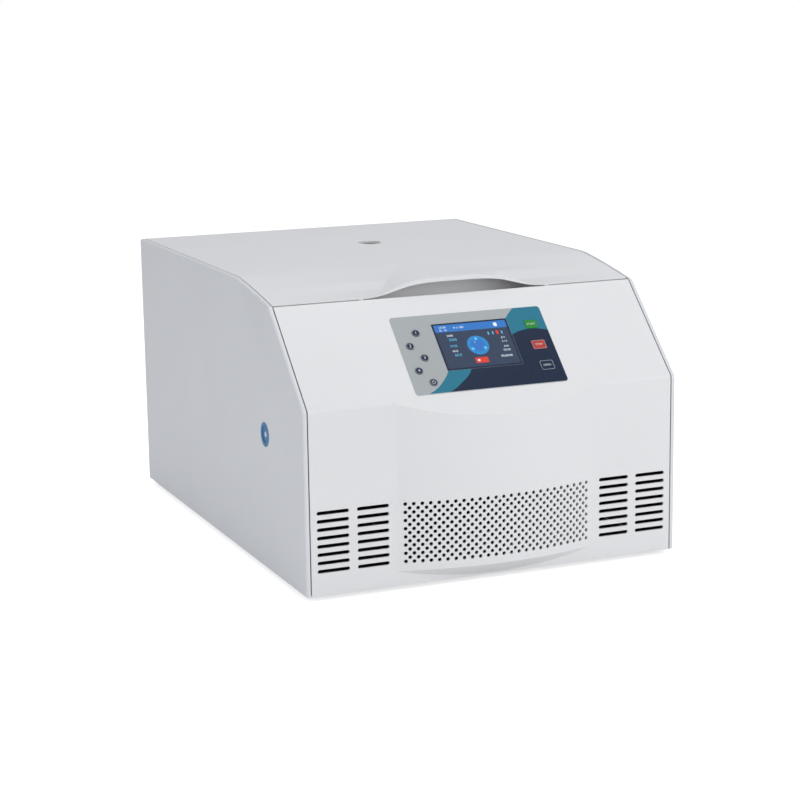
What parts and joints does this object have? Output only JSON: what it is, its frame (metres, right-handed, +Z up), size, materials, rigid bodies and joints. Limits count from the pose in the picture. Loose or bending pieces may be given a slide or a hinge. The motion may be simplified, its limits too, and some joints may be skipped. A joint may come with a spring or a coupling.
{
  "type": "oil centrifuge",
  "caption": "Benchtop centrifuge with a hinged visor lid, sloping control panel, punched front bulge, steel chamber and swing-out rotor with buckets.",
  "frame": {"origin": "middle of the bounding box's bottom, on the table under the four feet", "axes": "+X to the right seen from the front, +Y from the front with the control panel to the back, +Z up"},
  "size_m": [0.49, 0.6712, 0.3535],
  "materials": {
    "powder_white": "fine satin powder coat",
    "moulded_white": "satin moulded shell",
    "zinc_steel": "zinc-plated sheet",
    "stainless": "drawn stainless steel",
    "alloy": "machined and anodised",
    "black_rubber": "matte",
    "panel_print": "printed film",
    "screen": "smooth screen cover",
    "board": "green circuit board",
    "key_navy": "printed film",
    "key_green": "printed film",
    "key_red": "printed film",
    "motor_paint": "black enamel",
    "black_plastic": "moulded",
    "heater": "foil-faced band",
    "clear": "clear window",
    "plug_blue": "moulded",
    "white_rubber": "silicone"
  },
  "bodies": {
    "cabinet": {"base_tray": "zinc_steel", "foot_front_left": "black_rubber", "foot_front_right": "black_rubber", "foot_back_left": "black_rubber", "foot_back_right": "black_rubber", "chassis_left": "zinc_steel", "chassis_right": "zinc_steel", "side_cover_left": "powder_white", "side_cover_right": "powder_white", "front_cover": "moulded_white", "intake_grille": "moulded_white", "panel_film": "panel_print", "display_glass": "screen", "control_board": "board", "deck_plate": "powder_white", "rear_panel": "powder_white", "chamber_bowl": "stainless", "heater_band": "heater", "guard_ring": "zinc_steel", "middle_plate": "zinc_steel", "motor_body": "motor_paint", "motor_dampers": "black_rubber", "bowl_seal": "white_rubber", "lock_housing": "zinc_steel", "hinge_bracket_left": "zinc_steel", "hinge_bracket_right": "zinc_steel", "fan_frame": "black_plastic", "power_inlet": "black_plastic"},
    "lid": {"lid_shell": "moulded_white", "lid_liner": "alloy", "lid_seal": "white_rubber", "sight_tube": "alloy", "sight_window": "clear", "lid_hook": "zinc_steel", "lid_hinge_left": "zinc_steel", "lid_hinge_right": "zinc_steel"},
    "rotor": {"rotor_yoke": "alloy", "drive_shaft": "stainless", "rotor_nut": "stainless"},
    "pawl": {"lock_pawl": "zinc_steel"},
    "impeller": {"fan_impeller": "black_plastic"},
    "rocker": {"power_rocker": "black_plastic"},
    "plug": {"release_plug": "plug_blue"},
    "key_1_cap": {"key_1": "key_navy"},
    "key_2_cap": {"key_2": "key_navy"},
    "key_3_cap": {"key_3": "key_navy"},
    "key_4_cap": {"key_4": "key_navy"},
    "key_power_cap": {"key_power": "key_navy"},
    "key_start_cap": {"key_start": "key_green"},
    "key_stop_cap": {"key_stop": "key_red"},
    "key_open_cap": {"key_open": "key_navy"},
    "bucket_1_set": {"bucket_1": "alloy", "bucket_cushion_1": "black_rubber"},
    "bucket_2_set": {"bucket_2": "alloy", "bucket_cushion_2": "black_rubber"},
    "bucket_3_set": {"bucket_3": "alloy", "bucket_cushion_3": "black_rubber"},
    "bucket_4_set": {"bucket_4": "alloy", "bucket_cushion_4": "black_rubber"}
  },
  "joints": [
    {"name": "lid_hinge", "type": "hinge", "parent": "cabinet", "child": "lid", "pos_m": [0, 0.3236, 0.3285], "axis": [-1, 0, 0], "range_deg": [0, 70]},
    {"name": "rotor_spin", "type": "hinge", "parent": "cabinet", "child": "rotor", "pos_m": [0, 0.1156, 0.27], "axis": [0, 0, 1], "continuous": true},
    {"name": "bucket_1_swing", "type": "hinge", "parent": "rotor", "child": "bucket_1_set", "pos_m": [0.064, 0.1156, 0.27], "axis": [0, -1, 0], "range_deg": [0, 90]},
    {"name": "bucket_2_swing", "type": "hinge", "parent": "rotor", "child": "bucket_2_set", "pos_m": [0, 0.1796, 0.27], "axis": [1, 0, 0], "range_deg": [0, 90]},
    {"name": "bucket_3_swing", "type": "hinge", "parent": "rotor", "child": "bucket_3_set", "pos_m": [-0.064, 0.1156, 0.27], "axis": [0, 1, 0], "range_deg": [0, 90]},
    {"name": "bucket_4_swing", "type": "hinge", "parent": "rotor", "child": "bucket_4_set", "pos_m": [0, 0.0516, 0.27], "axis": [-1, 0, 0], "range_deg": [0, 90]},
    {"name": "lock_slide", "type": "slide", "parent": "cabinet", "child": "pawl", "axis": [0, -1, 0], "range_m": [0, 0.012]},
    {"name": "key_1_press", "type": "slide", "parent": "cabinet", "child": "key_1_cap", "axis": [0, 0.6956, -0.7184], "range_m": [0, 0.0005], "stiffness_N_per_m": 2000},
    {"name": "key_2_press", "type": "slide", "parent": "cabinet", "child": "key_2_cap", "axis": [0, 0.6956, -0.7184], "range_m": [0, 0.0005], "stiffness_N_per_m": 2000},
    {"name": "key_3_press", "type": "slide", "parent": "cabinet", "child": "key_3_cap", "axis": [0, 0.6956, -0.7184], "range_m": [0, 0.0005], "stiffness_N_per_m": 2000},
    {"name": "key_4_press", "type": "slide", "parent": "cabinet", "child": "key_4_cap", "axis": [0, 0.6956, -0.7184], "range_m": [0, 0.0005], "stiffness_N_per_m": 2000},
    {"name": "key_power_press", "type": "slide", "parent": "cabinet", "child": "key_power_cap", "axis": [0, 0.6956, -0.7184], "range_m": [0, 0.0005], "stiffness_N_per_m": 2000},
    {"name": "key_start_press", "type": "slide", "parent": "cabinet", "child": "key_start_cap", "axis": [0, 0.6956, -0.7184], "range_m": [0, 0.0005], "stiffness_N_per_m": 2000},
    {"name": "key_stop_press", "type": "slide", "parent": "cabinet", "child": "key_stop_cap", "axis": [0, 0.6956, -0.7184], "range_m": [0, 0.0005], "stiffness_N_per_m": 2000},
    {"name": "key_open_press", "type": "slide", "parent": "cabinet", "child": "key_open_cap", "axis": [0, 0.6956, -0.7184], "range_m": [0, 0.0005], "stiffness_N_per_m": 2000},
    {"name": "fan_spin", "type": "hinge", "parent": "cabinet", "child": "impeller", "pos_m": [-0.12, 0.3196, 0.068], "axis": [0, 1, 0], "continuous": true},
    {"name": "power_rock", "type": "hinge", "parent": "cabinet", "child": "rocker", "pos_m": [0.15, 0.3286, 0.082], "axis": [1, 0, 0], "range_deg": [0, 16]},
    {"name": "plug_pull", "type": "slide", "parent": "cabinet", "child": "plug", "axis": [-1, 0, 0], "range_m": [0, 0.02]}
  ]
}
